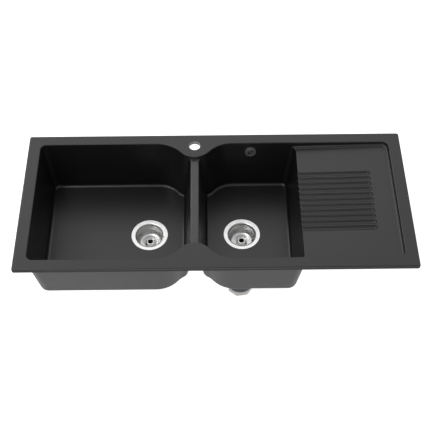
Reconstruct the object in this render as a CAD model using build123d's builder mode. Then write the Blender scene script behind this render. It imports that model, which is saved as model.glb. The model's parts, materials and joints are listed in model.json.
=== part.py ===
from build123d import *
from math import atan, copysign, cos, radians, sin, sqrt
import os

os.makedirs("parts", exist_ok=True)

# Inset double bowl kitchen sink with a fluted drainer, its two wastes, the overflow and
# the bottle trap. Millimetres. +X runs along the sink to the drainer, +Y to the wall, +Z up.
# The origin is the middle of the rim in the worktop's top plane, under the rim.

# ---- Sink body ------------------------------------------------------------------------

sink_length = 1160.0
sink_width = 500.0
rim_thickness = 12.0
rim_corner_radius = 7.0
rim_edge_radius = 4.0
end_rim_width = 37.7
face_rim_width = 36.0
mouth_radius = 2.5
mouth_steps = 4

bowl_depth = 190.0
floor_thickness = 10.0
wall_thickness = 11.0
end_draft = 19.5
lip_draft = 23.0
divider_draft = 22.0
back_draft = 14.0
front_draft = 23.0
bowl_corner_radius = 18.0
divider_corner_radius = 13.0
floor_fillet = 10.0
shell_edge_radius = 16.0

divider_x = -61.8
divider_width = 23.5
divider_drop = 12.0
divider_edge_radius = 5.0
divider_web = 16.0
right_bowl_length = 308.0

ledge_tip = 160.0
ledge_radius = 58.0
cove_radius = 100.0
cut_step = 0.6

tap_hole_radius = 17.5
tap_hole_inset = 45.0

drainer_high_drop = 14.0
drainer_low_drop = 21.0
drainer_thickness = 10.0
drainer_fillet = 8.0
lip_radius = 2.0
flute_count = 11
flute_pitch = 20.4
flute_width = 17.0
flute_depth = 6.0
flute_end_margin = 66.0

rim_top = rim_thickness
floor_top = rim_top - bowl_depth
shell_bottom = floor_top - floor_thickness
opening_end = sink_length / 2 - end_rim_width
opening_face = sink_width / 2 - face_rim_width
ledge_y = ledge_tip + ledge_radius
drainer_edge = divider_x + divider_width / 2 + right_bowl_length
left_walls = (-opening_end, divider_x - divider_width / 2, end_draft)
right_walls = (drainer_edge, divider_x + divider_width / 2, lip_draft)

# ---- Wastes ---------------------------------------------------------------------------

drain_offset = 145.5
waste_hole_radius = 45.0
flange_radius = 57.0
flange_sheet = 1.2
flange_seal_thickness = 1.5
flange_rebate = 3.0
rebate_gap = 1.0
cup_radius = 40.0
cup_depth = 45.5
cup_flange_bend = 8.0
cup_shoulder_bend = 12.0
groove_radius = 0.6
groove_drops = (12.0, 16.0)
throat_radius = 20.0
throat_depth = 3.0
throat_bend = 1.5
boss_foot_radius = 17.5
boss_top_radius = 11.0
boss_height = 12.4
boss_bend = 1.2
post_hole_radius = 8.6
post_sleeve_length = 12.0
vent_hole_radius = 2.4
vent_hole_offset = 13.8
vent_hole_angle = 25.0
spigot_length = 34.5

under_gasket_thickness = 3.0
friction_ring_thickness = 1.5
gasket_width = 12.0
lock_nut_height = 14.0
lock_nut_wall = 10.0
lock_nut_lugs = 8
lug_radius = 6.0
lug_reach = 2.5

# ---- Pipework -------------------------------------------------------------------------

pipe_radius = 20.0
pipe_wall = 1.8
thread_radius = 23.9
thread_length = 18.0
socket_depth = 26.0
washer_thickness = 4.0
nut_grip = 14.0
nut_wall = 5.0
nut_lip = 4.0
nut_chamfer = 1.5
nut_ribs = 18
rib_radius = 1.4
fit_gap = 0.3

tail_washer_thickness = 2.5
tail_flange = 3.0
tail_bore = 17.5
tail_nut_grip = 20.0
neck_length = 10.0
barrel_radius = 25.0
barrel_length = 50.0
barrel_chamfer = 3.0
bend_radius = 28.0
branch_drop = 36.5
branch_reach = 58.0
tee_outlet_drop = 41.0
hose_nozzle_reach = 50.0
hose_stop_radius = 9.5
hose_stop_height = 2.0

trap_inlet_drop = 21.0
trap_body_radius = 36.0
trap_body_wall = 3.0
trap_body_length = 78.0
trap_shoulder = 9.0
trap_outlet_drop = 44.0
trap_outlet_reach = 64.0
trap_flange_radius = 40.0
trap_flange_thickness = 4.0
trap_seal_thickness = 2.5
trap_seal_width = 5.0
seal_height = 50.0
outlet_pipe_end = 240.0
outlet_spigot = 45.0
outlet_mark_depth = 0.4
pipe_end_chamfer = 0.8
collar_radius = 44.5
collar_height = 26.5
collar_lip = 4.0
collar_grooves = 24
collar_groove_radius = 1.2
cup_facets = 8
cup_facet_turn = 31.0
cup_grip_radius = 44.5
cup_grip_height = 25.0
cup_base_height = 8.0
cup_base_taper = 35.0
cup_wall = 3.0

# ---- Overflow -------------------------------------------------------------------------

overflow_offset = 175.5
overflow_drop = 36.0
overflow_hole_radius = 15.0
rosette_radius = 17.5
rosette_opening = 10.5
rosette_height = 8.0
rosette_edge = 2.0
rosette_spokes = 3
spoke_width = 2.4
spoke_height = 3.0
hub_radius = 4.5
screw_radius = 2.0
screw_head_radius = 3.1
screw_head_height = 2.2
overflow_gasket_thickness = 2.5
housing_length = 50.0
housing_height = 44.0
housing_depth = 15.0
housing_corner = 8.0
housing_wall = 3.0
nozzle_radius = 7.0
nozzle_bore = 5.2
nozzle_length = 20.0

# ---- Sections of the bowls ------------------------------------------------------------


def insets(height, end_lean=end_draft):
    """How far the end, divider, back and front walls lean in at a height below the rim's top."""
    share = (rim_top - height) / bowl_depth
    return end_lean * share, divider_draft * share, back_draft * share, front_draft * share


def bowl_section(walls, height, grow=0.0):
    """Level section of a bowl. walls are its end and divider walls at the rim's top; grow moves
    every wall outwards. Towards the divider both faces swing round the ledges in an S: a cove,
    then an arc about the ledge's centre."""
    end_wall, divider_wall, end_lean = walls
    away = copysign(1, end_wall - divider_wall)
    end_inset, divider_inset, back_inset, front_inset = insets(height, end_lean)
    end_x = end_wall + away * (grow - end_inset)
    divider_side_x = divider_wall - away * (grow - divider_inset)
    cove_y = opening_face - cove_radius
    reach = ledge_radius + cove_radius
    cove_x = divider_x + away * sqrt(reach**2 - (ledge_y - cove_y) ** 2)

    def s_curve(side, inset):
        """The wall's end, the point between the two arcs, and the arc's end at the divider."""
        arc = ledge_radius + inset
        wall_end = (cove_x, side * (opening_face - inset))
        turn_x = divider_x + arc * (cove_x - divider_x) / reach
        turn_y = side * (ledge_y + arc * (cove_y - ledge_y) / reach)
        divider_y = side * (ledge_y - sqrt(arc**2 - (divider_side_x - divider_x) ** 2))
        return wall_end, (turn_x, turn_y), (divider_side_x, divider_y)

    back, front = back_inset - grow, front_inset - grow
    back_wall, back_turn, back_corner = s_curve(1, back)
    front_wall, front_turn, front_corner = s_curve(-1, front)
    back_end = (end_x, opening_face - back)
    front_end = (end_x, front - opening_face)
    with BuildSketch(Plane.XY.offset(height)) as section:
        with BuildLine():
            Line(back_end, back_wall)
            RadiusArc(back_wall, back_turn, -away * (cove_radius - back))
            RadiusArc(back_turn, back_corner, away * (ledge_radius + back))
            Line(back_corner, front_corner)
            RadiusArc(front_corner, front_turn, away * (ledge_radius + front))
            RadiusArc(front_turn, front_wall, -away * (cove_radius - front))
            Line(front_wall, front_end)
            Line(front_end, back_end)
        make_face()
        for corner in (back_end, front_end):
            fillet(section.vertices().sort_by_distance(corner)[0], bowl_corner_radius + grow)
        for corner in (back_corner, front_corner):
            fillet(section.vertices().sort_by_distance(corner)[0], divider_corner_radius + grow)
    return section.sketch


def ledge_gap_section(height, grow=0.0):
    """Level section of the low place over the divider, between the two ledges."""
    _, _, back_inset, front_inset = insets(height)
    back_arc = ledge_radius + back_inset + cut_step - grow
    front_arc = ledge_radius + front_inset + cut_step - grow
    half = divider_width / 2 + divider_corner_radius + mouth_radius
    back_y = ledge_y - sqrt(back_arc**2 - half**2)
    front_y = sqrt(front_arc**2 - half**2) - ledge_y
    left, right = divider_x - half, divider_x + half
    with BuildSketch(Plane.XY.offset(height)) as section:
        with BuildLine():
            ThreePointArc((left, back_y), (divider_x, ledge_y - back_arc), (right, back_y))
            Line((right, back_y), (right, front_y))
            ThreePointArc((right, front_y), (divider_x, front_arc - ledge_y), (left, front_y))
            Line((left, front_y), (left, back_y))
        make_face()
    return section.sketch


def drainer_section(height, grow=0.0):
    """Level section of the drainer's recess, which starts inside the right bowl."""
    end_inset, _, back_inset, front_inset = insets(height)
    start = drainer_edge - 2 * bowl_corner_radius
    back = opening_face - back_inset - cut_step + grow
    front = front_inset + cut_step - opening_face - grow
    end = opening_end - end_inset + grow
    with BuildSketch(Plane.XY.offset(height)) as section:
        with BuildLine():
            Polyline((start, front), (end, front), (end, back), (start, back), close=True)
        make_face()
        fillet(section.vertices().group_by(Axis.X)[-1], bowl_corner_radius + grow)
    return section.sketch


def cut_sections(section, bottom):
    """Sections of a cut from over the rim down to bottom, with a rounded mouth at the rim."""
    levels = [(rim_top + mouth_radius, mouth_radius)]
    for step in range(mouth_steps, -1, -1):
        angle = radians(90 * step / mouth_steps)
        drop = mouth_radius * (1 - sin(angle))
        levels.append((rim_top - drop, mouth_radius * (1 - cos(angle))))
    levels.append((bottom, 0.0))
    return [section(height, grow) for height, grow in levels]


# ---- The cuts and shells of the sink body ---------------------------------------------

hollows, shells = {}, {}
for side, walls in (("left", left_walls), ("right", right_walls)):
    with BuildPart() as hollow:
        loft(cut_sections(lambda height, grow: bowl_section(walls, height, grow), floor_top), True)
        fillet(hollow.faces().sort_by(Axis.Z)[0].edges(), floor_fillet)
    hollows[side] = hollow.part
    with BuildPart() as shell:
        upper = bowl_section(walls, 0, wall_thickness)
        lower = bowl_section(walls, shell_bottom, wall_thickness)
        loft([upper, lower], ruled=True)
        fillet(shell.faces().sort_by(Axis.Z)[0].edges(), shell_edge_radius)
    shells[side] = shell.part

divider_top = rim_top - divider_drop
with BuildPart() as ledge_gap:
    loft(cut_sections(ledge_gap_section, divider_top), ruled=True)

# The drainer's floor falls towards the bowl.
drainer_run = opening_end - drainer_edge
drainer_fall = drainer_low_drop - drainer_high_drop
drainer_slope = atan(drainer_fall / drainer_run)
drainer_floor = Plane(
    origin=(drainer_edge, 0, rim_top - drainer_low_drop),
    x_dir=(drainer_run, 0, drainer_fall),
    z_dir=(-drainer_fall, 0, drainer_run),
)
with BuildPart() as drainer_recess:
    loft(cut_sections(drainer_section, rim_top - 2 * drainer_low_drop), ruled=True)
    split(bisect_by=drainer_floor, keep=Keep.TOP)
    fillet(drainer_recess.faces().sort_by(Axis.Z)[0].edges(), drainer_fillet)

flute_radius = (flute_width**2 / 4 + flute_depth**2) / (2 * flute_depth)
flute_rise = flute_radius - flute_depth
flute_end = (drainer_run - flute_end_margin) / cos(drainer_slope) - flute_width / 2
flute_start = -2 * bowl_corner_radius

# The overflow's plane lies on the right bowl's back wall and looks into the bowl.
overflow_x = divider_x + overflow_offset
overflow_z = rim_top - overflow_drop
overflow_y = opening_face - insets(overflow_z)[2]
overflow_plane = Plane(
    origin=(overflow_x, overflow_y, overflow_z),
    x_dir=(1, 0, 0),
    z_dir=(0, -bowl_depth, back_draft),
)
wall_across = wall_thickness * cos(atan(back_draft / bowl_depth))

drains = {"left": divider_x - drain_offset, "right": divider_x + drain_offset}

# ---- Sink body: granite composite, moulded in one piece -------------------------------

with BuildPart() as sink_body:
    with BuildSketch():
        RectangleRounded(sink_length, sink_width, rim_corner_radius)
    extrude(amount=rim_thickness)
    fillet(sink_body.faces().sort_by(Axis.Z)[-1].edges(), rim_edge_radius)
    # The drainer's pan under the rim, and a web that joins the two bowls under the divider.
    pan_length = opening_end + wall_thickness - drainer_edge
    with BuildSketch() as pan:
        with Locations((drainer_edge + pan_length / 2, 0)):
            Rectangle(pan_length, 2 * (opening_face + wall_thickness))
        fillet(pan.vertices().group_by(Axis.X)[-1], bowl_corner_radius)
    extrude(amount=rim_thickness - drainer_low_drop - drainer_thickness)
    with BuildSketch():
        with Locations((divider_x, 0)):
            Rectangle(divider_width, 2 * ledge_tip)
    extrude(amount=-divider_web)
    add(shells["left"])
    add(shells["right"])
    add(hollows["left"], mode=Mode.SUBTRACT)
    add(hollows["right"], mode=Mode.SUBTRACT)
    add(ledge_gap.part, mode=Mode.SUBTRACT)
    add(drainer_recess.part, mode=Mode.SUBTRACT)
    # The drainer's rounded lip over the bowl, and the divider's rounded top edges.
    lip_top = rim_top - drainer_low_drop
    level = sink_body.edges().filter_by_position(Axis.Z, lip_top - fit_gap, lip_top + fit_gap)
    lip = level.filter_by_position(Axis.X, drainer_edge - bowl_corner_radius, drainer_edge)
    fillet(lip.sort_by(SortBy.LENGTH)[-1], lip_radius)
    level = sink_body.edges().filter_by_position(Axis.Z, divider_top - fit_gap, divider_top + fit_gap)
    near, far = divider_width / 2, divider_width / 2 + divider_edge_radius / 2
    fillet(level.filter_by(lambda edge: near < abs(edge.center().X - divider_x) < far), divider_edge_radius)
    with Locations(drainer_floor):
        with GridLocations(flute_pitch, flute_pitch, 1, flute_count):
            with Locations(((flute_start + flute_end) / 2, 0, flute_rise)):
                Cylinder(
                    flute_radius, flute_end - flute_start, rotation=(0, 90, 0), mode=Mode.SUBTRACT
                )
            with Locations((flute_end, 0, flute_rise)):
                Sphere(flute_radius, mode=Mode.SUBTRACT)
    with Locations((divider_x, sink_width / 2 - tap_hole_inset, rim_top)):
        Hole(tap_hole_radius, depth=rim_thickness)
    with Locations(*[(drain_x, 0, floor_top) for drain_x in drains.values()]):
        CounterBoreHole(
            waste_hole_radius, flange_radius + rebate_gap, flange_rebate, depth=floor_thickness
        )
    with Locations(overflow_plane):
        Cylinder(overflow_hole_radius, 3 * wall_across, mode=Mode.SUBTRACT)
sink_body.part.label = "sink_body"
export_step(sink_body.part, "parts/sink_body.step")

# ---- Wastes: a pressed steel cup clamps the floor between its flange and a lock nut ----


def upright(x):
    """Section plane through the vertical axis at x, seen from the front."""
    return Plane(origin=(x, 0, 0), x_dir=(1, 0, 0), z_dir=(0, -1, 0))


def looking_down(x, height):
    """Level plane on the vertical axis at x, facing down."""
    return Plane(origin=(x, 0, height), z_dir=(0, 0, -1))


seat_z = floor_top - flange_rebate
flange_bottom = seat_z + flange_seal_thickness
flange_top = flange_bottom + flange_sheet
shoulder_z = flange_top - cup_depth
throat_z = shoulder_z - throat_depth
boss_z = throat_z + boss_height
spigot_end = shoulder_z - spigot_length
cup_outer = cup_radius + flange_sheet
sleeve_outer = post_hole_radius + flange_sheet
gasket_bore = cup_outer + fit_gap
seal_bore = gasket_bore + cup_flange_bend - flange_sheet
spigot_bore = thread_radius - flange_sheet
vent_turns = {"left": 180 + vent_hole_angle, "right": -vent_hole_angle}

for side, drain_x in drains.items():
    with BuildPart() as strainer_cup:
        with BuildSketch(upright(drain_x)) as cup_section:
            with BuildLine():
                Polyline(
                    (flange_radius, flange_top),
                    (cup_radius, flange_top),
                    (cup_radius, shoulder_z),
                    (throat_radius, shoulder_z),
                    (throat_radius, throat_z),
                    (boss_foot_radius, throat_z),
                    (boss_top_radius, boss_z),
                    (post_hole_radius, boss_z),
                    (post_hole_radius, boss_z - post_sleeve_length),
                    (sleeve_outer, boss_z - post_sleeve_length),
                    (sleeve_outer, boss_z - flange_sheet),
                    (boss_foot_radius - flange_sheet / 2, throat_z - flange_sheet),
                    (spigot_bore, throat_z - flange_sheet),
                    (spigot_bore, spigot_end),
                    (thread_radius, spigot_end),
                    (thread_radius, shoulder_z - flange_sheet),
                    (cup_outer, shoulder_z - flange_sheet),
                    (cup_outer, flange_bottom),
                    (flange_radius, flange_bottom),
                    close=True,
                )
            make_face()
            for corner, rounding in (
                ((cup_radius, flange_top), cup_flange_bend),
                ((cup_outer, flange_bottom), cup_flange_bend - flange_sheet),
                ((cup_radius, shoulder_z), cup_shoulder_bend),
                ((cup_outer, shoulder_z - flange_sheet), cup_shoulder_bend + flange_sheet),
                ((throat_radius, shoulder_z), throat_bend),
                ((boss_foot_radius, throat_z), boss_bend),
                ((boss_top_radius, boss_z), boss_bend),
            ):
                fillet(cup_section.vertices().sort_by_distance(corner)[0], rounding)
        revolve(axis=Axis((drain_x, 0, 0), (0, 0, 1)))
        with Locations(*[(drain_x, 0, flange_top - drop) for drop in groove_drops]):
            Torus(cup_radius, groove_radius, mode=Mode.SUBTRACT)
        vent_turn = radians(vent_turns[side])
        vent_x = drain_x + vent_hole_offset * cos(vent_turn)
        with Locations((vent_x, vent_hole_offset * sin(vent_turn), boss_z)):
            Hole(vent_hole_radius, depth=boss_height + flange_sheet)
    strainer_cup.part.label = f"{side}_strainer_cup"
    export_step(strainer_cup.part, f"parts/{side}_strainer_cup.step")

    with BuildPart() as flange_seal:
        with BuildSketch(Plane((drain_x, 0, seat_z))):
            Circle(flange_radius - rebate_gap)
            Circle(seal_bore, mode=Mode.SUBTRACT)
        extrude(amount=flange_seal_thickness)
    flange_seal.part.label = f"{side}_flange_seal"
    export_step(flange_seal.part, f"parts/{side}_flange_seal.step")

    with BuildPart() as under_gasket:
        with BuildSketch(looking_down(drain_x, shell_bottom)):
            Circle(gasket_bore + gasket_width)
            Circle(gasket_bore, mode=Mode.SUBTRACT)
        extrude(amount=under_gasket_thickness)
    under_gasket.part.label = f"{side}_under_gasket"
    export_step(under_gasket.part, f"parts/{side}_under_gasket.step")

    ring_top = shell_bottom - under_gasket_thickness
    with BuildPart() as friction_ring:
        with BuildSketch(looking_down(drain_x, ring_top)):
            Circle(gasket_bore + gasket_width)
            Circle(gasket_bore, mode=Mode.SUBTRACT)
        extrude(amount=friction_ring_thickness)
    friction_ring.part.label = f"{side}_friction_ring"
    export_step(friction_ring.part, f"parts/{side}_friction_ring.step")

    nut_top = ring_top - friction_ring_thickness
    lock_nut_radius = gasket_bore + lock_nut_wall
    with BuildPart() as lock_nut:
        with BuildSketch(looking_down(drain_x, nut_top)):
            Circle(lock_nut_radius)
            with PolarLocations(lock_nut_radius + lug_reach - lug_radius, lock_nut_lugs):
                Circle(lug_radius)
            Circle(gasket_bore, mode=Mode.SUBTRACT)
        extrude(amount=lock_nut_height)
        chamfer(lock_nut.faces().sort_by(Axis.Z)[0].outer_wire().edges(), nut_chamfer)
    lock_nut.part.label = f"{side}_lock_nut"
    export_step(lock_nut.part, f"parts/{side}_lock_nut.step")

# ---- Pipe joints: a threaded socket, a washer at its mouth and a nut over both --------


def joint_nut(name, mouth, grip, stack):
    """Ribbed nut at a socket's mouth. mouth is the mouth's plane, which looks out along the
    pipe; grip is how far the nut covers the thread and stack what it clamps to the mouth."""
    outer = thread_radius + fit_gap + nut_wall
    length = grip + stack + nut_lip
    with BuildPart() as nut:
        with BuildSketch(mouth.offset(-grip)):
            Circle(outer)
        extrude(amount=length)
        chamfer(nut.edges().filter_by(GeomType.CIRCLE), nut_chamfer)
        with BuildSketch(mouth.offset(nut_chamfer - grip)):
            with PolarLocations(outer, nut_ribs):
                Circle(rib_radius)
        extrude(amount=length - 2 * nut_chamfer)
        with BuildSketch(mouth.offset(-grip)):
            Circle(thread_radius + fit_gap)
        extrude(amount=grip + stack, mode=Mode.SUBTRACT)
        with BuildSketch(mouth.offset(stack)):
            Circle(pipe_radius + fit_gap)
        extrude(amount=nut_lip, mode=Mode.SUBTRACT)
    nut.part.label = name
    export_step(nut.part, f"parts/{name}.step")


def joint_washer(name, mouth, thickness, bore):
    """Rubber washer that lies on a socket's mouth."""
    with BuildPart() as washer:
        with BuildSketch(mouth):
            Circle(thread_radius - fit_gap)
            Circle(bore, mode=Mode.SUBTRACT)
        extrude(amount=thickness)
    washer.part.label = name
    export_step(washer.part, f"parts/{name}.step")


def slip_joint(name, mouth):
    """Washer and nut of a joint that a plain pipe slips into."""
    joint_washer(f"{name}_washer", mouth, washer_thickness, pipe_radius + fit_gap)
    joint_nut(f"{name}_nut", mouth, nut_grip, washer_thickness)


tail_top = spigot_end - tail_washer_thickness
branch_z = tail_top - branch_drop
tee_outlet_z = branch_z - tee_outlet_drop
trap_top = tee_outlet_z - trap_inlet_drop
trap_outlet_z = trap_top - trap_outlet_drop
right_x = drains["right"]
elbow_mouth = drains["left"] + bend_radius + socket_depth + pipe_wall
pipe_bore = pipe_radius - pipe_wall
socket_bore = pipe_radius + fit_gap
tail_flange_radius = thread_radius - fit_gap

for side, drain_x in drains.items():
    spigot_mouth = looking_down(drain_x, spigot_end)
    joint_washer(f"{side}_tail_washer", spigot_mouth, tail_washer_thickness, tail_bore)
    joint_nut(f"{side}_tail_nut", spigot_mouth, tail_nut_grip, tail_washer_thickness + tail_flange)

elbow_plane = Plane(origin=(elbow_mouth, 0, branch_z), z_dir=(1, 0, 0))
branch_plane = Plane(origin=(right_x - branch_reach, 0, branch_z), z_dir=(-1, 0, 0))
outlet_plane = Plane(origin=(right_x, trap_outlet_reach, trap_outlet_z), z_dir=(0, 1, 0))
hose_nozzle_plane = Plane(origin=(right_x, hose_nozzle_reach, branch_z), z_dir=(0, 1, 0))
slip_joint("left_elbow", elbow_plane)
slip_joint("tee_branch", branch_plane)
slip_joint("tee_outlet", looking_down(right_x, tee_outlet_z))
slip_joint("trap_inlet", Plane((right_x, 0, trap_top)))
slip_joint("trap_outlet", outlet_plane)

# ---- Elbow under the left waste, and the pipe across to the tee -----------------------

with BuildPart() as left_waste_elbow:
    with BuildLine() as bend:
        FilletPolyline(
            (drains["left"], 0, tail_top),
            (drains["left"], 0, branch_z),
            (elbow_mouth, 0, branch_z),
            radius=bend_radius,
        )
    with BuildSketch(looking_down(drains["left"], tail_top)):
        Circle(pipe_radius)
    sweep(path=bend.line)
    with BuildSketch(looking_down(drains["left"], tail_top)):
        Circle(tail_flange_radius)
    extrude(amount=tail_flange)
    with BuildSketch(elbow_plane):
        Circle(thread_radius)
    extrude(amount=-socket_depth - pipe_wall)
    with BuildSketch(looking_down(drains["left"], tail_top)):
        Circle(tail_bore)
    sweep(path=bend.line, mode=Mode.SUBTRACT)
    with BuildSketch(elbow_plane):
        Circle(socket_bore)
    extrude(amount=-socket_depth, mode=Mode.SUBTRACT)
left_waste_elbow.part.label = "left_waste_elbow"
export_step(left_waste_elbow.part, "parts/left_waste_elbow.step")

cross_length = right_x - branch_reach - elbow_mouth + 2 * socket_depth
with BuildPart() as cross_pipe:
    with BuildSketch(elbow_plane.offset(-socket_depth)):
        Circle(pipe_radius)
        Circle(pipe_bore, mode=Mode.SUBTRACT)
    extrude(amount=cross_length)
cross_pipe.part.label = "cross_pipe"
export_step(cross_pipe.part, "parts/cross_pipe.step")

# ---- Tee under the right waste, with the overflow's nozzle at the back ----------------

barrel_top = tail_top - neck_length
barrel_bottom = barrel_top - barrel_length
with BuildPart() as waste_tee:
    with BuildSketch(upright(right_x)):
        with BuildLine():
            Polyline(
                (0, tail_top),
                (tail_flange_radius, tail_top),
                (tail_flange_radius, tail_top - tail_flange),
                (pipe_radius, tail_top - tail_flange),
                (pipe_radius, barrel_top),
                (barrel_radius, barrel_top - barrel_chamfer),
                (barrel_radius, barrel_bottom + barrel_chamfer),
                (thread_radius, barrel_bottom),
                (thread_radius, tee_outlet_z),
                (0, tee_outlet_z),
                close=True,
            )
        make_face()
    revolve(axis=Axis((right_x, 0, 0), (0, 0, 1)))
    with BuildSketch(branch_plane):
        Circle(thread_radius)
    extrude(amount=-branch_reach)
    with BuildSketch(hose_nozzle_plane):
        Circle(nozzle_radius)
    extrude(amount=-hose_nozzle_reach)
    with BuildSketch(upright(right_x)):
        with Locations((0, branch_z)):
            Circle(hose_stop_radius)
    extrude(amount=-barrel_radius - hose_stop_height)
    with BuildSketch(hose_nozzle_plane):
        Circle(nozzle_bore)
    extrude(amount=-hose_nozzle_reach, mode=Mode.SUBTRACT)
    with BuildSketch(looking_down(right_x, tail_top)):
        Circle(tail_bore)
    extrude(amount=tail_top - tee_outlet_z, mode=Mode.SUBTRACT)
    with BuildSketch(branch_plane):
        Circle(pipe_bore)
    extrude(amount=-branch_reach, mode=Mode.SUBTRACT)
    with BuildSketch(branch_plane, looking_down(right_x, tee_outlet_z)):
        Circle(socket_bore)
    extrude(amount=-socket_depth, mode=Mode.SUBTRACT)
waste_tee.part.label = "waste_tee"
export_step(waste_tee.part, "parts/waste_tee.step")

# ---- Bottle trap: its inlet pipe hangs from the tee and the trap turns about it -------

trap_flange_z = trap_top - trap_body_length
trap_bottom = trap_flange_z - trap_flange_thickness
outlet_invert = trap_outlet_z - pipe_bore
inlet_pipe_top = tee_outlet_z + socket_depth
inlet_pipe_length = inlet_pipe_top - outlet_invert + seal_height
with BuildPart() as trap_inlet_pipe:
    with BuildSketch(looking_down(right_x, inlet_pipe_top)):
        Circle(pipe_radius)
        Circle(pipe_bore, mode=Mode.SUBTRACT)
    extrude(amount=inlet_pipe_length)
trap_inlet_pipe.part.label = "trap_inlet_pipe"
export_step(trap_inlet_pipe.part, "parts/trap_inlet_pipe.step")

thread_z = trap_top - thread_length
chamber_radius = trap_body_radius - trap_body_wall
with BuildPart() as trap_body:
    with BuildSketch(upright(right_x)):
        with BuildLine():
            Polyline(
                (socket_bore, trap_top),
                (thread_radius, trap_top),
                (thread_radius, thread_z),
                (trap_body_radius, thread_z - trap_shoulder),
                (trap_body_radius, trap_flange_z),
                (trap_flange_radius, trap_flange_z),
                (trap_flange_radius, trap_bottom),
                (0, trap_bottom),
                (0, trap_top),
                close=True,
            )
        make_face()
    revolve(axis=Axis((right_x, 0, 0), (0, 0, 1)))
    with BuildSketch(outlet_plane):
        Circle(thread_radius)
    extrude(amount=-trap_outlet_reach)
    with BuildSketch(upright(right_x)):
        with BuildLine():
            Polyline(
                (0, trap_top),
                (socket_bore, trap_top),
                (socket_bore, thread_z),
                (chamber_radius, thread_z - trap_shoulder - trap_body_wall),
                (chamber_radius, trap_bottom),
                (0, trap_bottom),
                close=True,
            )
        make_face()
    revolve(axis=Axis((right_x, 0, 0), (0, 0, 1)), mode=Mode.SUBTRACT)
    with BuildSketch(outlet_plane):
        Circle(pipe_bore)
    extrude(amount=-trap_outlet_reach, mode=Mode.SUBTRACT)
    with BuildSketch(outlet_plane):
        Circle(socket_bore)
    extrude(amount=-socket_depth, mode=Mode.SUBTRACT)
trap_body.part.label = "trap_body"
export_step(trap_body.part, "parts/trap_body.step")

with BuildPart() as trap_outlet_pipe:
    with BuildSketch(outlet_plane.offset(-socket_depth)):
        Circle(pipe_radius)
        Circle(pipe_bore, mode=Mode.SUBTRACT)
    extrude(amount=outlet_pipe_end - trap_outlet_reach + socket_depth)
    chamfer(trap_outlet_pipe.faces().sort_by(Axis.Y)[-1].outer_wire().edges(), pipe_end_chamfer)
    # A fine groove marks how far the pipe goes into the wall's socket.
    with BuildSketch(outlet_plane.offset(outlet_pipe_end - trap_outlet_reach - outlet_spigot)):
        Circle(pipe_radius + fit_gap)
        Circle(pipe_radius - outlet_mark_depth, mode=Mode.SUBTRACT)
    extrude(amount=-outlet_mark_depth, both=True, mode=Mode.SUBTRACT)
trap_outlet_pipe.part.label = "trap_outlet_pipe"
export_step(trap_outlet_pipe.part, "parts/trap_outlet_pipe.step")

# The collar hangs on the body's flange and takes the cup's thread.
collar_top = trap_flange_z + collar_lip
collar_bottom = collar_top - collar_height
with BuildPart() as trap_collar:
    with BuildSketch(looking_down(right_x, collar_top)):
        Circle(collar_radius)
    extrude(amount=collar_height)
    chamfer(trap_collar.edges().sort_by(Axis.Z)[-1], nut_chamfer)
    with BuildSketch(looking_down(right_x, collar_top)):
        with PolarLocations(collar_radius, collar_grooves):
            Circle(collar_groove_radius)
    extrude(amount=collar_height - nut_chamfer, mode=Mode.SUBTRACT)
    with BuildSketch(looking_down(right_x, collar_top)):
        Circle(trap_body_radius + fit_gap)
    extrude(amount=collar_lip, mode=Mode.SUBTRACT)
    with BuildSketch(looking_down(right_x, trap_flange_z)):
        Circle(trap_flange_radius + fit_gap)
    extrude(amount=collar_height, mode=Mode.SUBTRACT)
trap_collar.part.label = "trap_collar"
export_step(trap_collar.part, "parts/trap_collar.step")

seal_top = trap_bottom - fit_gap
with BuildPart() as trap_cup_seal:
    with BuildSketch(looking_down(right_x, seal_top)):
        Circle(trap_flange_radius - fit_gap)
        Circle(trap_flange_radius - fit_gap - trap_seal_width, mode=Mode.SUBTRACT)
    extrude(amount=trap_seal_thickness)
trap_cup_seal.part.label = "trap_cup_seal"
export_step(trap_cup_seal.part, "parts/trap_cup_seal.step")

# The cup screws up into the collar; its faceted grip shows under the collar.
cup_top = seal_top - trap_seal_thickness - fit_gap
grip_top = collar_bottom - fit_gap
grip_bottom = grip_top - cup_grip_height
with BuildPart() as trap_cup:
    with BuildSketch(looking_down(right_x, cup_top)):
        Circle(trap_flange_radius)
    extrude(amount=cup_top - grip_top)
    with BuildSketch(Plane((right_x, 0, grip_bottom))):
        RegularPolygon(cup_grip_radius, cup_facets, rotation=cup_facet_turn)
    extrude(amount=cup_grip_height)
    extrude(trap_cup.faces().sort_by(Axis.Z)[0], amount=cup_base_height, taper=cup_base_taper)
    fillet(trap_cup.edges().group_by(Axis.Z)[0], nut_chamfer)
    with BuildSketch(looking_down(right_x, cup_top)):
        Circle(trap_flange_radius - cup_wall)
    extrude(amount=cup_top - grip_bottom, mode=Mode.SUBTRACT)
    with BuildSketch(looking_down(right_x, grip_bottom)):
        Circle(trap_flange_radius - cup_wall - cup_base_height)
    extrude(amount=cup_base_height - cup_wall, mode=Mode.SUBTRACT)
trap_cup.part.label = "trap_cup"
export_step(trap_cup.part, "parts/trap_cup.step")

# ---- Overflow: rosette in the bowl, box and nozzle behind the wall --------------------

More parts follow.
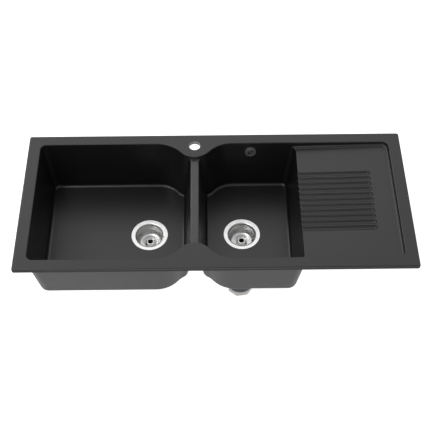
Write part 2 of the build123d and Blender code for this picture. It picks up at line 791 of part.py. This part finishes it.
sleeve_radius = overflow_hole_radius - fit_gap
box_front = -wall_across - overflow_gasket_thickness
sleeve_length = wall_across + overflow_gasket_thickness + housing_wall
with BuildPart() as overflow_rosette:
    with BuildSketch(overflow_plane):
        Circle(rosette_radius)
    extrude(amount=rosette_height)
    fillet(overflow_rosette.faces().sort_by(Axis.Y)[0].edges(), rosette_edge)
    with BuildSketch(overflow_plane):
        Circle(sleeve_radius)
    extrude(amount=-sleeve_length)
    with BuildSketch(overflow_plane.offset(-sleeve_length)):
        Circle(rosette_opening)
    extrude(amount=sleeve_length + rosette_height, mode=Mode.SUBTRACT)
    with BuildSketch(overflow_plane):
        Circle(hub_radius)
        with PolarLocations(0, rosette_spokes, start_angle=90):
            Rectangle(sleeve_radius, spoke_width, align=(Align.MIN, Align.CENTER))
    extrude(amount=spoke_height)
    with BuildSketch(overflow_plane):
        Circle(screw_radius + fit_gap)
    extrude(amount=spoke_height, mode=Mode.SUBTRACT)
overflow_rosette.part.label = "overflow_rosette"
export_step(overflow_rosette.part, "parts/overflow_rosette.step")

with BuildPart() as overflow_gasket:
    with BuildSketch(overflow_plane.offset(box_front)):
        RectangleRounded(housing_length, housing_height, housing_corner)
        Circle(overflow_hole_radius + fit_gap, mode=Mode.SUBTRACT)
    extrude(amount=overflow_gasket_thickness)
overflow_gasket.part.label = "overflow_gasket"
export_step(overflow_gasket.part, "parts/overflow_gasket.step")

boss_radius = screw_radius + housing_wall
nozzle_plane = Plane(
    overflow_plane.from_local_coords((0, -housing_height / 2, box_front - housing_depth / 2)),
    z_dir=-overflow_plane.y_dir,
)
with BuildPart() as overflow_housing:
    with BuildSketch(overflow_plane.offset(box_front)):
        RectangleRounded(housing_length, housing_height, housing_corner)
    extrude(amount=-housing_depth)
    with BuildSketch(nozzle_plane):
        Circle(nozzle_radius)
    extrude(amount=nozzle_length)
    with BuildSketch(overflow_plane.offset(box_front)):
        RectangleRounded(
            housing_length - 2 * housing_wall,
            housing_height - 2 * housing_wall,
            housing_corner - housing_wall,
        )
        Circle(boss_radius, mode=Mode.SUBTRACT)
    extrude(amount=housing_wall - housing_depth, mode=Mode.SUBTRACT)
    with BuildSketch(nozzle_plane.offset(-2 * housing_wall)):
        Circle(nozzle_bore)
    extrude(amount=nozzle_length + 2 * housing_wall, mode=Mode.SUBTRACT)
    with BuildSketch(overflow_plane.offset(box_front)):
        Circle(screw_radius + fit_gap)
    extrude(amount=-housing_depth / 2, mode=Mode.SUBTRACT)
    with BuildSketch(overflow_plane.offset(box_front)):
        Circle(overflow_hole_radius)
    extrude(amount=-housing_wall - fit_gap, mode=Mode.SUBTRACT)
overflow_housing.part.label = "overflow_housing"
export_step(overflow_housing.part, "parts/overflow_housing.step")

screw_reach = housing_depth / 2 - box_front - fit_gap
with BuildPart() as overflow_screw:
    with BuildSketch(overflow_plane.offset(spoke_height)):
        Circle(screw_head_radius)
    extrude(amount=screw_head_height)
    fillet(overflow_screw.faces().sort_by(Axis.Y)[0].edges(), screw_head_height / 2)
    with BuildSketch(overflow_plane.offset(spoke_height)):
        Circle(screw_radius)
    extrude(amount=-spoke_height - screw_reach)
overflow_screw.part.label = "overflow_screw"
export_step(overflow_screw.part, "parts/overflow_screw.step")
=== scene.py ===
import json
from math import cos, radians, sin

import bpy
import numpy as np
from mathutils import Matrix, Vector


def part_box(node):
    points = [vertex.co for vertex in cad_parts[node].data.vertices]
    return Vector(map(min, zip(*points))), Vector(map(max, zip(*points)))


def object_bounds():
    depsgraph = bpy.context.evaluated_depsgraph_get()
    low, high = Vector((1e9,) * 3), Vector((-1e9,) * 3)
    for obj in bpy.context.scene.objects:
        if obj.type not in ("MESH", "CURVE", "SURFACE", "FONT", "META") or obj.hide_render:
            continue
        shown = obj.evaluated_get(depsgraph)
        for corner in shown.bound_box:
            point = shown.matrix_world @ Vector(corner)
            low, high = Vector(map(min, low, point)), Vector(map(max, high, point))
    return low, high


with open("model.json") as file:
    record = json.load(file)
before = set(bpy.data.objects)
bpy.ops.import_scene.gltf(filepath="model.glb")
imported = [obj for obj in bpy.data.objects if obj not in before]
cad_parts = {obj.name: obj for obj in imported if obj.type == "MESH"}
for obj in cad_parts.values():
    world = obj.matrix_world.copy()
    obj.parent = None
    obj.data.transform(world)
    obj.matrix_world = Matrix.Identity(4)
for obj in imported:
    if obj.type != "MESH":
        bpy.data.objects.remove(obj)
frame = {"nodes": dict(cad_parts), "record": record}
cad_box = [list(corner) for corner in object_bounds()]
nodes = frame["nodes"]
mounts = {mount["name"]: mount for mount in frame["record"]["mounts"]}

# Camera: it stands in front of the sink and looks down into the bowls at about 54 degrees.
# It aims at a point in the rim's top face, between the wastes and the front of the sink.

rim_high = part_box("sink_body")[1]
camera_turn, camera_height, camera_roll = radians(-0.42), radians(53.89), radians(-0.26)
camera_distance = 2.6497
camera_target = Vector((-0.00122, -0.06342, rim_high.z))
camera_lens, camera_sensor = 75.31, 36

back = Vector(
    (
        sin(camera_turn) * cos(camera_height),
        -cos(camera_turn) * cos(camera_height),
        sin(camera_height),
    )
)
level = (-back).cross(Vector((0, 0, 1))).normalized()
upright = level.cross(-back)
right = cos(camera_roll) * level + sin(camera_roll) * upright
up = cos(camera_roll) * upright - sin(camera_roll) * level

camera = bpy.data.objects.new("camera", bpy.data.cameras.new("camera"))
camera.data.lens = camera_lens
camera.data.sensor_width = camera_sensor
turned = Matrix((right, up, back)).transposed().to_4x4()
camera.matrix_world = Matrix.Translation(camera_target + camera_distance * back) @ turned
bpy.context.collection.objects.link(camera)
bpy.context.scene.camera = camera
bpy.context.scene.view_settings.view_transform = "Standard"

# Sink body: black acrylic filled with quartz sand, cast in one piece in a matt mould. The binder
# is nearly black, so what the eye sees is mostly its dull, even sheen, with a fine grey grain.


def linear(code):
    """sRGB hex code to linear red, green, blue and alpha."""
    channels = np.array([int(code[i : i + 2], 16) for i in (1, 3, 5)]) / 255
    low, high = channels / 12.92, ((channels + 0.055) / 1.055) ** 2.4
    return (*np.where(channels <= 0.04045, low, high).tolist(), 1.0)


def material(name):
    """New node material: the material, its tree, its Principled shader and its Object coordinates."""
    made = bpy.data.materials.new(name)
    made.use_nodes = True
    tree = made.node_tree
    return made, tree, tree.nodes["Principled BSDF"], add(tree, "ShaderNodeTexCoord").outputs["Object"]


def add(tree, kind, settings=None, **links):
    """Adds a node. settings go to its properties, or to its inputs where it has an input of that
    name or number; links join an input, named or numbered after in_, to another node's output.
    A Mix node is numbered by kind: 2 and 3 are its two numbers, 6 and 7 its two colours."""
    node = tree.nodes.new(kind)
    for key, value in (settings or {}).items():
        if isinstance(key, int) or key in node.inputs:
            node.inputs[key].default_value = value
        else:
            setattr(node, key, value)
    for key, output in links.items():
        key = key.removeprefix("in_").replace("_", " ")
        tree.links.new(output, node.inputs[int(key) if key.isdigit() else key])
    return node


def finish(made, *names):
    """Gives these CAD nodes the material."""
    for name in names:
        for slot in nodes[name].material_slots:
            slot.material = made


granite, tree, shader, place = material("cast quartz composite, black")
axes = add(tree, "ShaderNodeSeparateXYZ", in_0=place).outputs

# the real sand is 0.1 to 0.6 mm; its grain and its specks are drawn coarser so that they show
grain_size, speck_pitch = 0.0009, 0.0025
noise_range = {"From Min": 0.3, "From Max": 0.7}  # most of a noise's values lie between these
binder, sand, quartz = linear("#0a0a0b"), linear("#131314"), linear("#5a5a5a")
grain = add(
    tree, "ShaderNodeTexNoise", {"Scale": 1 / grain_size, "Detail": 3.0, "Roughness": 0.6}, in_Vector=place
)
tone = add(tree, "ShaderNodeMix", {"data_type": "RGBA", 6: binder, 7: sand}, in_0=grain.outputs["Fac"])

# single grains of quartz that lie at the surface, one cell in a few
speck_core, speck_edge = 0.12, 0.2
rare_from, rare_most = 0.55, 0.5
speck = add(tree, "ShaderNodeTexVoronoi", {"Scale": 1 / speck_pitch}, in_Vector=place)
near = add(
    tree, "ShaderNodeMapRange",
    {"From Min": speck_core, "From Max": speck_edge, "To Min": 1.0, "To Max": 0.0},
    in_Value=speck.outputs["Distance"],
)
rare = add(tree, "ShaderNodeSeparateColor", in_0=speck.outputs["Color"])
rare = add(
    tree, "ShaderNodeMapRange", {"From Min": rare_from, "To Max": rare_most}, in_Value=rare.outputs["Red"]
)
lit = add(
    tree, "ShaderNodeMath", {"operation": "MULTIPLY"},
    in_0=near.outputs["Result"], in_1=rare.outputs["Result"],
)
tone = add(tree, "ShaderNodeMix", {"data_type": "RGBA", 7: quartz}, in_0=lit.outputs[0], in_6=tone.outputs[2])

# the low divider's top is painted a little greyer in patches: a painted sheen for the highlight its rounded
# top catches
left_drain_x, right_drain_x = (mounts[f"{side}_basket_seat"]["pos_m"][0] for side in ("left", "right"))
divider_x = (left_drain_x + right_drain_x) / 2
ridge_half_width, ridge_fade, ridge_low, ridge_high = 0.009, 1.6, -0.012, 0.006
sheen_patch_scale, divider_painted_sheen = 160.0, linear("#3e3e3e")
aside = add(tree, "ShaderNodeMath", {"operation": "SUBTRACT", 1: divider_x}, in_0=axes["X"])
aside = add(tree, "ShaderNodeMath", {"operation": "ABSOLUTE"}, in_0=aside.outputs[0])
aside = add(
    tree, "ShaderNodeMapRange",
    {"From Min": ridge_half_width, "From Max": ridge_fade * ridge_half_width, "To Min": 1.0, "To Max": 0.0},
    in_Value=aside.outputs[0],
)
under = add(tree, "ShaderNodeMath", {"operation": "LESS_THAN", 1: ridge_high}, in_0=axes["Z"])
over = add(tree, "ShaderNodeMapRange", {"From Min": ridge_low, "From Max": 0.0}, in_Value=axes["Z"])
ridge = add(
    tree, "ShaderNodeMath", {"operation": "MULTIPLY"}, in_0=aside.outputs["Result"], in_1=under.outputs[0]
)
ridge = add(
    tree, "ShaderNodeMath", {"operation": "MULTIPLY"}, in_0=ridge.outputs[0], in_1=over.outputs["Result"]
)
divider_sheen_patch = add(tree, "ShaderNodeTexNoise", {"Scale": sheen_patch_scale, "Detail": 3.0}, in_Vector=place)
divider_sheen_patch = add(tree, "ShaderNodeMapRange", noise_range | {"To Min": 0.5}, in_Value=divider_sheen_patch.outputs["Fac"])
divider_sheen_patch = add(
    tree, "ShaderNodeMath", {"operation": "MULTIPLY"}, in_0=divider_sheen_patch.outputs["Result"], in_1=ridge.outputs[0]
)
tone = add(
    tree, "ShaderNodeMix", {"data_type": "RGBA", 7: divider_painted_sheen}, in_0=divider_sheen_patch.outputs[0], in_6=tone.outputs[2]
)

# the tap hole is drilled after casting; its wall is painted light grey, a painted reflection of the bright
# surround in its glossy wall
hole_place = mounts["tap_hole"]["pos_m"]
hole_reach, hole_wall_painted_reflection = mounts["tap_hole"]["dims"]["r_mm"] / 1000 + 0.0002, linear("#b4b4b2")
local = add(tree, "ShaderNodeVectorMath", {"operation": "SUBTRACT", 1: hole_place}, in_0=place)
flat = add(tree, "ShaderNodeVectorMath", {"operation": "MULTIPLY", 1: (1, 1, 0)}, in_0=local.outputs[0])
reach = add(tree, "ShaderNodeVectorMath", {"operation": "LENGTH"}, in_0=flat.outputs[0])
hole_wall_mask = add(tree, "ShaderNodeMath", {"operation": "LESS_THAN", 1: hole_reach}, in_0=reach.outputs["Value"])
tone = add(
    tree, "ShaderNodeMix", {"data_type": "RGBA", 7: hole_wall_painted_reflection}, in_0=hole_wall_mask.outputs[0], in_6=tone.outputs[2]
)
tree.links.new(tone.outputs[2], shader.inputs["Base Color"])

# the mould was rubbed down along its length, which leaves faint long streaks in the sheen
streak_length, streak_width = 0.09, 0.0025
streak_scale = (1 / streak_length, 1 / streak_width, 1 / streak_width)
streak = add(tree, "ShaderNodeMapping", {"Scale": streak_scale}, in_Vector=place)
streak = add(tree, "ShaderNodeTexNoise", {"Scale": 1.0, "Detail": 2.0}, in_Vector=streak.outputs[0])
rough = add(
    tree, "ShaderNodeMapRange", noise_range | {"To Min": 0.36, "To Max": 0.42},
    in_Value=streak.outputs["Fac"],
)

# the rim's upright outer edge is trimmed after casting, which leaves it duller than the top
trim_depth, trim_drop, trim_fade, trimmed_roughness = 0.0015, 0.0035, 0.001, 0.75
trim_top = rim_high.z - trim_drop
past = []
for axis, edge in (("X", rim_high.x - trim_depth), ("Y", rim_high.y - trim_depth)):
    out = add(tree, "ShaderNodeMath", {"operation": "ABSOLUTE"}, in_0=axes[axis])
    out = add(tree, "ShaderNodeMath", {"operation": "GREATER_THAN", 1: edge}, in_0=out.outputs[0])
    past.append(out.outputs[0])
trimmed = add(tree, "ShaderNodeMath", {"operation": "MAXIMUM"}, in_0=past[0], in_1=past[1])
low = add(
    tree, "ShaderNodeMapRange",
    {"From Min": trim_top - trim_fade, "From Max": trim_top, "To Min": 1.0, "To Max": 0.0},
    in_Value=axes["Z"],
)
trimmed = add(
    tree, "ShaderNodeMath", {"operation": "MULTIPLY"}, in_0=trimmed.outputs[0], in_1=low.outputs["Result"]
)
rough = add(
    tree, "ShaderNodeMix", {3: trimmed_roughness}, in_0=trimmed.outputs[0], in_2=rough.outputs["Result"]
)
tree.links.new(rough.outputs[0], shader.inputs["Roughness"])
shader.inputs["IOR"].default_value = 1.54
pits = add(tree, "ShaderNodeBump", {"Strength": 0.3, "Distance": 0.00006}, in_Height=grain.outputs["Fac"])
tree.links.new(pits.outputs["Normal"], shader.inputs["Normal"])
finish(granite, "sink_body")

# Wastes: cups pressed from 1.2 mm stainless sheet and brushed while they spin, so the scratches
# run round the axis. Both drains are as far from the divider, so one pattern serves the two. Real
# scratches are under 0.1 mm wide, and are drawn wider so that they show.

sides = ("left", "right")
steel, tree, shader, place = material("stainless steel, brushed round")
drain_offset = (right_drain_x - left_drain_x) / 2
scratch_size, smear_size = 0.0005, 0.018
steel_dark, steel_pale = linear("#cecece"), linear("#e4e4e3")
shader.inputs["Metallic"].default_value = 1.0
axes = add(tree, "ShaderNodeSeparateXYZ", in_0=place).outputs
aside = add(tree, "ShaderNodeMath", {"operation": "SUBTRACT", 1: divider_x}, in_0=axes["X"])
aside = add(tree, "ShaderNodeMath", {"operation": "ABSOLUTE"}, in_0=aside.outputs[0])
aside = add(tree, "ShaderNodeMath", {"operation": "SUBTRACT", 1: drain_offset}, in_0=aside.outputs[0])
flat = add(tree, "ShaderNodeCombineXYZ", in_X=aside.outputs[0], in_Y=axes["Y"])
reach = add(tree, "ShaderNodeVectorMath", {"operation": "LENGTH"}, in_0=flat.outputs[0])
ring = add(tree, "ShaderNodeCombineXYZ", in_X=reach.outputs["Value"], in_Y=axes["Z"])
brush = add(tree, "ShaderNodeTexNoise", {"Scale": 1 / scratch_size, "Detail": 2.0}, in_Vector=ring.outputs[0])
smear = add(tree, "ShaderNodeTexNoise", {"Scale": 1 / smear_size, "Detail": 3.0}, in_Vector=place)
tone = add(
    tree, "ShaderNodeMix", {"data_type": "RGBA", 6: steel_dark, 7: steel_pale}, in_0=brush.outputs["Fac"]
)
tree.links.new(tone.outputs[2], shader.inputs["Base Color"])
rough = add(
    tree, "ShaderNodeMapRange", noise_range | {"To Min": 0.3, "To Max": 0.4},
    in_Value=smear.outputs["Fac"],
)
tree.links.new(rough.outputs["Result"], shader.inputs["Roughness"])
grooves = add(tree, "ShaderNodeBump", {"Strength": 0.25, "Distance": 0.00003}, in_Height=brush.outputs["Fac"])
tree.links.new(grooves.outputs["Normal"], shader.inputs["Normal"])
finish(steel, *(f"{side}_strainer_cup" for side in sides))

# Seals: moulded black EPDM rubber rings between the wastes, the sink and the pipes, with the
# greyish bloom that such rubber gets in patches. Its grain is drawn coarser than the real one.

rubber, tree, shader, place = material("EPDM rubber, moulded")
bloom_size, rubber_grain = 0.006, 0.0004
rubber_dark, rubber_pale = linear("#161617"), linear("#2b2b2b")
bloom = add(tree, "ShaderNodeTexNoise", {"Scale": 1 / bloom_size, "Detail": 3.0}, in_Vector=place)
tone = add(
    tree, "ShaderNodeMix", {"data_type": "RGBA", 6: rubber_dark, 7: rubber_pale}, in_0=bloom.outputs["Fac"]
)
tree.links.new(tone.outputs[2], shader.inputs["Base Color"])
rough = add(tree, "ShaderNodeMapRange", {"To Min": 0.6, "To Max": 0.85}, in_Value=bloom.outputs["Fac"])
tree.links.new(rough.outputs["Result"], shader.inputs["Roughness"])
grain = add(tree, "ShaderNodeTexNoise", {"Scale": 1 / rubber_grain}, in_Vector=place)
skin = add(tree, "ShaderNodeBump", {"Strength": 0.3, "Distance": 0.00005}, in_Height=grain.outputs["Fac"])
tree.links.new(skin.outputs["Normal"], shader.inputs["Normal"])
finish(
    rubber,
    *(f"{side}_{seal}" for side in sides for seal in ("flange_seal", "under_gasket", "tail_washer")),
    "left_elbow_washer", "tee_branch_washer", "tee_outlet_washer", "trap_inlet_washer",
    "trap_outlet_washer", "trap_cup_seal", "overflow_gasket",
)

# Friction rings: thin grey-brown card that lets the lock nut turn without twisting the gasket.
# Its cut edge and face show short fibres, drawn some ten times their real width.

card, tree, shader, place = material("pressed card")
fibre_length, fibre_width = 0.004, 0.0004
card_dark, card_pale = linear("#837560"), linear("#a89b83")
fibre_scale = (1 / fibre_length, 1 / fibre_width, 1 / fibre_width)
fibre = add(tree, "ShaderNodeMapping", {"Scale": fibre_scale}, in_Vector=place)
fibre = add(tree, "ShaderNodeTexNoise", {"Scale": 1.0, "Detail": 3.0}, in_Vector=fibre.outputs[0])
tone = add(
    tree, "ShaderNodeMix", {"data_type": "RGBA", 6: card_dark, 7: card_pale}, in_0=fibre.outputs["Fac"]
)
tree.links.new(tone.outputs[2], shader.inputs["Base Color"])
shader.inputs["Roughness"].default_value = 0.9
nap = add(tree, "ShaderNodeBump", {"Strength": 0.4, "Distance": 0.00008}, in_Height=fibre.outputs["Fac"])
tree.links.new(nap.outputs["Normal"], shader.inputs["Normal"])
finish(card, *(f"{side}_friction_ring" for side in sides))

# Nuts and collar: polypropylene coloured slate grey, moulded in a spark-eroded tool that gives
# a satin skin, drawn coarser than the real 0.05 mm. Ribs and rims carry a painted edge highlight, partly the
# rub of hands.

slate, tree, shader, place = material("polypropylene, slate grey")
spark_size, cloud_size, edge_reach = 0.0006, 0.012, 0.0012
slate_dark, slate_pale, slate_edge_highlight_and_wear = linear("#363a40"), linear("#43484f"), linear("#686d73")
cloud = add(tree, "ShaderNodeTexNoise", {"Scale": 1 / cloud_size, "Detail": 2.0}, in_Vector=place)
tone = add(
    tree, "ShaderNodeMix", {"data_type": "RGBA", 6: slate_dark, 7: slate_pale}, in_0=cloud.outputs["Fac"]
)
soft = add(tree, "ShaderNodeBevel", {"samples": 4, "Radius": edge_reach})
true = add(tree, "ShaderNodeNewGeometry")
facing = add(
    tree, "ShaderNodeVectorMath", {"operation": "DOT_PRODUCT"},
    in_0=soft.outputs[0], in_1=true.outputs["Normal"],
)
# edges found by the bevel are painted lighter: a painted edge highlight, partly the rub of hands
edge_highlight_and_wear = add(
    tree, "ShaderNodeMapRange", {"From Min": 0.97, "From Max": 0.8, "To Max": 0.6},
    in_Value=facing.outputs["Value"],
)
tone = add(
    tree, "ShaderNodeMix", {"data_type": "RGBA", 7: slate_edge_highlight_and_wear},
    in_0=edge_highlight_and_wear.outputs["Result"], in_6=tone.outputs[2],
)
tree.links.new(tone.outputs[2], shader.inputs["Base Color"])
spark = add(tree, "ShaderNodeTexNoise", {"Scale": 1 / spark_size, "Detail": 2.0}, in_Vector=place)
rough = add(
    tree, "ShaderNodeMapRange", noise_range | {"To Min": 0.38, "To Max": 0.52},
    in_Value=spark.outputs["Fac"],
)
tree.links.new(rough.outputs["Result"], shader.inputs["Roughness"])
skin = add(tree, "ShaderNodeBump", {"Strength": 0.35, "Distance": 0.00006}, in_Height=spark.outputs["Fac"])
tree.links.new(skin.outputs["Normal"], shader.inputs["Normal"])
finish(
    slate,
    *(f"{side}_{nut}" for side in sides for nut in ("lock_nut", "tail_nut")),
    "left_elbow_nut", "tee_branch_nut", "tee_outlet_nut", "trap_inlet_nut", "trap_outlet_nut", "trap_collar",
)

# Pipes: white polypropylene, extruded or moulded, slightly waxy, with flow marks in its gloss
# and a faint unevenness in its white.

pipe, tree, shader, place = material("polypropylene, white")
flow_size, wax_size = 0.025, 0.0015
pipe_dark, pipe_pale = linear("#dcdcd7"), linear("#e8e8e4")
flow = add(
    tree, "ShaderNodeTexNoise", {"Scale": 1 / flow_size, "Detail": 2.0, "Distortion": 1.5}, in_Vector=place
)
tone = add(
    tree, "ShaderNodeMix", {"data_type": "RGBA", 6: pipe_dark, 7: pipe_pale}, in_0=flow.outputs["Fac"]
)
tree.links.new(tone.outputs[2], shader.inputs["Base Color"])
rough = add(
    tree, "ShaderNodeMapRange", noise_range | {"To Min": 0.28, "To Max": 0.42},
    in_Value=flow.outputs["Fac"],
)
tree.links.new(rough.outputs["Result"], shader.inputs["Roughness"])
wax = add(tree, "ShaderNodeTexNoise", {"Scale": 1 / wax_size, "Detail": 2.0}, in_Vector=place)
skin = add(tree, "ShaderNodeBump", {"Strength": 0.15, "Distance": 0.00008}, in_Height=wax.outputs["Fac"])
tree.links.new(skin.outputs["Normal"], shader.inputs["Normal"])
shader.inputs["Subsurface Weight"].default_value = 0.12
shader.inputs["Subsurface Radius"].default_value = (0.002, 0.002, 0.0018)
finish(
    pipe, "left_waste_elbow", "cross_pipe", "waste_tee", "trap_inlet_pipe", "trap_body", "trap_outlet_pipe",
    "overflow_housing",
)

# Trap cup: polypropylene without pigment, milky, so that light goes a few millimetres into it.
# Its eight grip faces carry the swirls of the flow into the mould.

milky, tree, shader, place = material("polypropylene, natural")
swirl_size = 0.014
milky_dark, milky_pale = linear("#d8d4d2"), linear("#eae6e4")
swirl = add(
    tree, "ShaderNodeTexNoise", {"Scale": 1 / swirl_size, "Detail": 3.0, "Distortion": 2.5}, in_Vector=place
)
tone = add(
    tree, "ShaderNodeMix", {"data_type": "RGBA", 6: milky_dark, 7: milky_pale}, in_0=swirl.outputs["Fac"]
)
tree.links.new(tone.outputs[2], shader.inputs["Base Color"])
rough = add(
    tree, "ShaderNodeMapRange", noise_range | {"To Min": 0.25, "To Max": 0.4},
    in_Value=swirl.outputs["Fac"],
)
tree.links.new(rough.outputs["Result"], shader.inputs["Roughness"])
skin = add(tree, "ShaderNodeBump", {"Strength": 0.15, "Distance": 0.0001}, in_Height=swirl.outputs["Fac"])
tree.links.new(skin.outputs["Normal"], shader.inputs["Normal"])
shader.inputs["Subsurface Weight"].default_value = 0.3
shader.inputs["Subsurface Radius"].default_value = (0.004, 0.004, 0.004)
finish(milky, "trap_cup")

# Overflow: a rosette moulded of dark grey ABS, polished on its rim and spokes and dull in its
# hollows, held to its housing by one screw. Its rim and spokes carry a painted highlight.

rosette, tree, shader, place = material("ABS, dark grey")
rim_reach, shade_size = 0.002, 0.004
abs_dark, abs_pale, abs_painted_highlight = linear("#535355"), linear("#646467"), linear("#97979a")
soft = add(tree, "ShaderNodeBevel", {"samples": 4, "Radius": rim_reach})
true = add(tree, "ShaderNodeNewGeometry")
facing = add(
    tree, "ShaderNodeVectorMath", {"operation": "DOT_PRODUCT"},
    in_0=soft.outputs[0], in_1=true.outputs["Normal"],
)
edge_highlight_and_wear = add(
    tree, "ShaderNodeMapRange", {"From Min": 0.98, "From Max": 0.8, "To Max": 0.9},
    in_Value=facing.outputs["Value"],
)
shade = add(tree, "ShaderNodeTexNoise", {"Scale": 1 / shade_size, "Detail": 2.0}, in_Vector=place)
tone = add(tree, "ShaderNodeMix", {"data_type": "RGBA", 6: abs_dark, 7: abs_pale}, in_0=shade.outputs["Fac"])
# the rim and spokes found by the bevel are painted pale, a painted highlight; their lower roughness is the
# real polish
tone = add(
    tree, "ShaderNodeMix", {"data_type": "RGBA", 7: abs_painted_highlight},
    in_0=edge_highlight_and_wear.outputs["Result"], in_6=tone.outputs[2],
)
tree.links.new(tone.outputs[2], shader.inputs["Base Color"])
rough = add(tree, "ShaderNodeMapRange", {"To Min": 0.34, "To Max": 0.18}, in_Value=edge_highlight_and_wear.outputs["Result"])
tree.links.new(rough.outputs["Result"], shader.inputs["Roughness"])
finish(rosette, "overflow_rosette")

# Overflow screw: turned stainless steel, so its head has fine rings about its own axis, which
# leans with the bowl's back wall. The rings are drawn wider than the real tool marks.

screw, tree, shader, place = material("stainless steel, turned")
screw_axis, screw_place, turning_pitch = (0.0, -0.9973, 0.0735), (0.1137, 0.21135, -0.024), 0.0003
turned_dark, turned_pale = linear("#7d7d7d"), linear("#a4a4a3")
shader.inputs["Metallic"].default_value = 1.0
local = add(tree, "ShaderNodeVectorMath", {"operation": "SUBTRACT", 1: screw_place}, in_0=place)
local = add(
    tree, "ShaderNodeVectorMath", {"operation": "CROSS_PRODUCT", 1: screw_axis}, in_0=local.outputs[0]
)
reach = add(tree, "ShaderNodeVectorMath", {"operation": "LENGTH"}, in_0=local.outputs[0])
ring = add(
    tree, "ShaderNodeTexNoise", {"noise_dimensions": "1D", "Scale": 1 / turning_pitch},
    in_W=reach.outputs["Value"],
)
tone = add(
    tree, "ShaderNodeMix", {"data_type": "RGBA", 6: turned_dark, 7: turned_pale}, in_0=ring.outputs["Fac"]
)
tree.links.new(tone.outputs[2], shader.inputs["Base Color"])
rough = add(tree, "ShaderNodeMapRange", {"To Min": 0.2, "To Max": 0.36}, in_Value=ring.outputs["Fac"])
tree.links.new(rough.outputs["Result"], shader.inputs["Roughness"])
finish(screw, "overflow_screw")

# Studio floor: a wide sheet of white paper under the trap. It glows for the camera so that it
# is white there, and less for reflections, so that the bowls' outsides don't look washed out.

floor_half, floor_gap = 8.0, 0.001
floor_glow, mirrored_share = 0.75, 0.7
floor_z = cad_box[0][2] - floor_gap
floor_mesh = bpy.data.meshes.new("floor")
corners = [(x * floor_half, y * floor_half, floor_z) for x, y in ((-1, -1), (1, -1), (1, 1), (-1, 1))]
floor_mesh.from_pydata(corners, [], [(0, 1, 2, 3)])
floor = bpy.data.objects.new("floor", floor_mesh)
bpy.context.collection.objects.link(floor)
paper, tree, shader, place = material("studio paper, white")
shader.inputs["Base Color"].default_value = linear("#f4f4f4")
shader.inputs["Roughness"].default_value = 0.9
shader.inputs["Emission Color"].default_value = (1, 1, 1, 1)
rays = add(tree, "ShaderNodeLightPath").outputs
gloss = add(tree, "ShaderNodeMath", {"operation": "MULTIPLY", 1: mirrored_share}, in_0=rays["Is Glossy Ray"])
seen = add(
    tree, "ShaderNodeMath", {"operation": "MAXIMUM"}, in_0=rays["Is Camera Ray"], in_1=gloss.outputs[0]
)
seen = add(
    tree, "ShaderNodeMath", {"operation": "MAXIMUM"}, in_0=seen.outputs[0], in_1=rays["Is Transmission Ray"]
)
glow = add(tree, "ShaderNodeMath", {"operation": "MULTIPLY", 1: floor_glow}, in_0=seen.outputs[0])
tree.links.new(glow.outputs[0], shader.inputs["Emission Strength"])
floor_mesh.materials.append(paper)

# Surround: white to the camera, and a soft fill for what it lights. As a reflection it falls off
# towards the front of the room, which is dark, so that edges and flutes that face it stand out.

fill_strength, white_strength = 0.35, 1.0
front_from, front_to, front_share = 0.05, -0.35, 0.2
world = bpy.data.worlds.new("studio")
bpy.context.scene.world = world
world.use_nodes = True
tree = world.node_tree
rays = add(tree, "ShaderNodeLightPath").outputs
aim = add(tree, "ShaderNodeTexCoord").outputs["Generated"]
aim = add(tree, "ShaderNodeSeparateXYZ", in_0=aim)
lit_side = add(
    tree, "ShaderNodeMapRange", {"From Min": front_to, "From Max": front_from, "To Min": front_share},
    in_Value=aim.outputs["Y"],
)
gloss = add(
    tree, "ShaderNodeMath", {"operation": "MULTIPLY"},
    in_0=rays["Is Glossy Ray"], in_1=lit_side.outputs["Result"],
)
seen = add(
    tree, "ShaderNodeMath", {"operation": "MAXIMUM"}, in_0=rays["Is Camera Ray"], in_1=gloss.outputs[0]
)
seen = add(
    tree, "ShaderNodeMath", {"operation": "MAXIMUM"}, in_0=seen.outputs[0], in_1=rays["Is Transmission Ray"]
)
strength = add(
    tree, "ShaderNodeMapRange", {"To Min": fill_strength, "To Max": white_strength}, in_Value=seen.outputs[0]
)
tree.links.new(strength.outputs["Result"], tree.nodes["Background"].inputs["Strength"])
tree.nodes["Background"].inputs["Color"].default_value = (1, 1, 1, 1)

# Lamps: round soft ones. Two windows behind the sink put the sheen on the rim, the floors and
# the fillets; the key and the front one light the outsides and the trap.

lamps = {
    "window": {"spot": (-0.1, 2.6, 3.2), "aim": (0, 0, 0), "size": 3.4, "power": 15},
    "side window": {"spot": (-2.4, 2.36, 2.28), "aim": (-0.15, 0, -0.1), "size": 0.9, "power": 18},
    "key softbox": {"spot": (-1.6, -0.8, 3.2), "aim": (0, 0, 0), "size": 1.2, "power": 30},
    "front softbox": {"spot": (0.0, -3.0, 0.35), "aim": (0, 0, -0.1), "size": 1.8, "power": 22},
}
for name, lamp in lamps.items():
    light = bpy.data.objects.new(name, bpy.data.lights.new(name, "AREA"))
    light.data.shape = "DISK"
    light.data.size = lamp["size"]
    light.data.energy = lamp["power"]
    light.location = lamp["spot"]
    aimed = Vector(lamp["aim"]) - Vector(lamp["spot"])
    light.rotation_euler = aimed.to_track_quat("-Z", "Y").to_euler()
    bpy.context.collection.objects.link(light)
